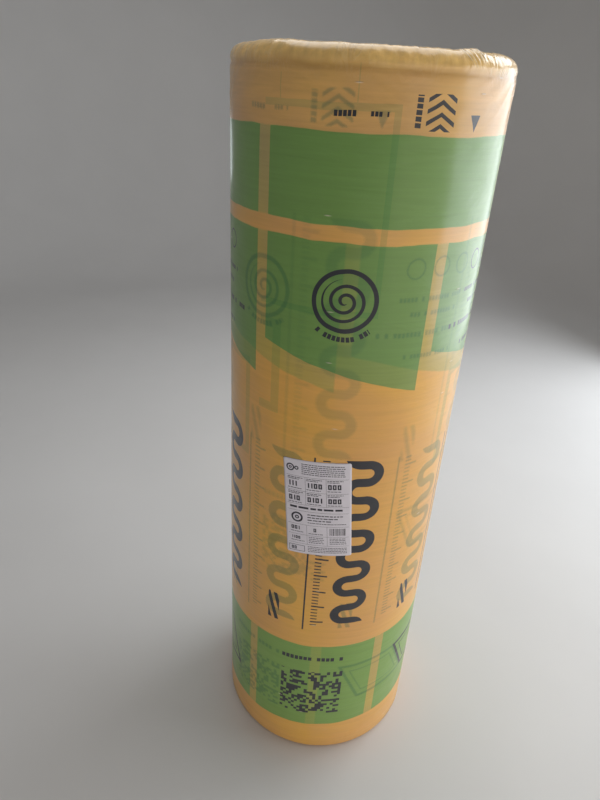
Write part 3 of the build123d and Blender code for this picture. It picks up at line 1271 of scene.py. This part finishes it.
def kraft_paper():
    """Brown kraft paper, glued to the wool: matt, with darker fibres in it."""
    material, tree, shader = new_material("kraft paper")
    place = add_node(tree, "TexCoord").node.outputs["Object"]
    pulp = add_node(tree, "TexNoise", place, sockets={"Scale": 380, "Detail": 5})
    tone = add_node(
        tree, "Mix", data_type="RGBA", output=2,
        sockets={0: add_node(tree, "MapRange", pulp, 0.3, 0.7), 6: colour("#6E4A2B"), 7: colour("#A87B4C")},
    )
    tree.links.new(tone, shader.inputs["Base Color"])
    tree.links.new(add_node(tree, "Bump", 0.4, 0.0003, sockets={"Height": pulp}), shader.inputs["Normal"])
    shader.inputs["Roughness"].default_value = 0.85
    return material


def coated_paper():
    """White label paper, coated for printing: smooth, a little cool, with the faint cloud of its pulp."""
    material, tree, shader = new_material("coated label paper")
    place = add_node(tree, "TexCoord").node.outputs["Object"]
    cloud = add_node(tree, "TexNoise", place, sockets={"Scale": 55, "Detail": 4})
    tone = add_node(
        tree, "Mix", data_type="RGBA", output=2,
        sockets={0: cloud, 6: colour("#D6D0D9"), 7: colour("#E6E1E8")},
    )
    tree.links.new(tone, shader.inputs["Base Color"])
    grain = add_node(tree, "TexNoise", place, sockets={"Scale": 900, "Detail": 3})
    tree.links.new(add_node(tree, "Bump", 0.15, 0.0002, sockets={"Height": grain}), shader.inputs["Normal"])
    shader.inputs["Roughness"].default_value = 0.5
    return material


def printer_ink():
    """Thermal printer ink: black, thin enough for the paper's grain to break it up a little."""
    material, tree, shader = new_material("thermal printer ink")
    place = add_node(tree, "TexCoord").node.outputs["Object"]
    grain = add_node(tree, "TexNoise", place, sockets={"Scale": 1500, "Detail": 2})
    worn = add_node(tree, "MapRange", grain, 0.45, 0.75)
    tone = add_node(
        tree, "Mix", data_type="RGBA", output=2,
        sockets={0: worn, 6: colour("#24222A"), 7: colour("#5A5762")},
    )
    tree.links.new(tone, shader.inputs["Base Color"])
    shader.inputs["Roughness"].default_value = 0.55
    return material


def painted_plaster():
    """The studio's pale floor: matt plaster, painted, with a faint unevenness of tone."""
    material, tree, shader = new_material("painted plaster")
    place = add_node(tree, "TexCoord").node.outputs["Object"]
    cloud = add_node(tree, "TexNoise", place, sockets={"Scale": 3, "Detail": 5})
    tone = add_node(
        tree, "Mix", data_type="RGBA", output=2,
        sockets={0: cloud, 6: colour("#D3D1CF"), 7: colour("#DCDAD8")},
    )
    tree.links.new(tone, shader.inputs["Base Color"])
    shader.inputs["Roughness"].default_value = 0.8
    return material


# The studio

floor_reach = 2.8
cove_radius = 1.2
wall_top = 3.6
floor_gap = 0.2 * MM


def make_studio():
    """A round floor whose edge curves up into a wall, all in one."""
    section = [Vector((0, 0, -floor_gap)), Vector((floor_reach, 0, -floor_gap))]
    for k in range(1, 9):
        turn = k / 8 * pi / 2
        section.append(Vector((floor_reach + cove_radius * sin(turn), 0, cove_radius * (1 - cos(turn)))))
    section.append(Vector((floor_reach + cove_radius, 0, wall_top)))
    studio = drawn_chain("studio_floor", section)
    bpy.ops.mesh.spin(steps=96, angle=2 * pi, center=(0, 0, 0), axis=(0, 0, 1))
    bpy.ops.mesh.select_all(action="SELECT")
    bpy.ops.mesh.remove_doubles(threshold=0.1 * MM)
    bpy.ops.mesh.normals_make_consistent(inside=True)
    leave_edit()
    smooth(studio)
    studio.data.materials.append(painted_plaster())


def add_light(name, place, aim, size, power, warmth, mirrored=True):
    """A soft square light at a place, turned to what it lights, and mirrored in what is glossy or not."""
    light = bpy.data.lights.new(name, "AREA")
    light.shape = "RECTANGLE"
    light.size, light.size_y = size
    light.energy = power
    light.color = warmth
    lamp = bpy.data.objects.new(name, light)
    lamp.location = place
    lamp.rotation_euler = (Vector(aim) - Vector(place)).to_track_quat("-Z", "Y").to_euler()
    lamp.visible_camera = False
    lamp.visible_glossy = mirrored
    bpy.context.collection.objects.link(lamp)


def light_studio():
    """A big soft window to the right, weaker and warmer light from the front, and a panel overhead."""
    middle = (0, 0, 0.8)
    add_light("window", (1.8, 0.65, 0.8), (0, 0, 0.6), (2.6, 1.5), 37, (0.9, 0.95, 1.0))
    add_light("doorway", (0.7, -2.4, 0.45), (0, 0, 0.4), (1.8, 0.9), 12.5, (1.0, 0.98, 0.97), mirrored=False)
    add_light("warm_wall", (1.75, -1.35, 0.7), (0, 0, 0.5), (2.2, 1.3), 7, (1.0, 0.9, 0.74))
    add_light("overhead", (0, 0.5, 2.3), (0, 0.3, 0), (1.5, 1.5), 15.5, (1.0, 0.99, 0.97))
    add_light("transom", (1.5, 1.2, 2.1), (0, 0, 1.2), (1.4, 0.7), 13, (0.93, 0.97, 1.0))
    add_light("skylight", (-1.1, 1.75, 0.87), middle, (0.25, 0.25), 0.45, (0.86, 0.93, 1.0))
    world = bpy.data.worlds.new("soft light all round")
    world.use_nodes = True
    world.node_tree.nodes["Background"].inputs["Color"].default_value = (0.88, 0.9, 0.94, 1)
    world.node_tree.nodes["Background"].inputs["Strength"].default_value = 0.12
    bpy.context.scene.world = world
    bpy.context.scene.view_settings.view_transform = "Standard"


camera_place = (0, -0.9135, 1.1669)
camera_pitch = radians(28.20)
camera_roll = radians(3.33)
camera_yaw = radians(-4.31)
camera_lens = 27.0


def make_camera():
    """The photograph's camera, as it was found from the roll's outline."""
    camera = bpy.data.objects.new("camera", bpy.data.cameras.new("camera"))
    camera.data.lens = camera_lens
    turn = Matrix.Rotation(-camera_yaw, 4, "Z") @ Matrix.Rotation(pi / 2 - camera_pitch, 4, "X")
    camera.matrix_world = Matrix.Translation(camera_place) @ turn @ Matrix.Rotation(camera_roll, 4, "Z")
    bpy.context.collection.objects.link(camera)
    bpy.context.scene.camera = camera


# The roll's pieces, each with its material, the node it stands for and the body that carries it

film = make_film()
film.data.materials.append(printed_film())
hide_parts("film_wrap")
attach(film, "root")

wool = make_wool()
wool.data.materials.append(glass_wool())
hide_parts("wool_roll")
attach(wool, "root")

paper = kraft_paper()
for name, height, up in (("kraft_facing", wool_high.z, 1), ("kraft_facing_foot", wool_low.z, -1)):
    kraft = make_kraft(name, height, up)
    kraft.data.materials.append(paper)
    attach(kraft, "root")

sticker = make_sticker()
sticker.data.materials.append(coated_paper())
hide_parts("paper_sticker")
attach(sticker, "root")

sticker_print = make_sticker_print()
sticker_print.data.materials.append(printer_ink())
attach(sticker_print, "root")

make_studio()
light_studio()
make_camera()
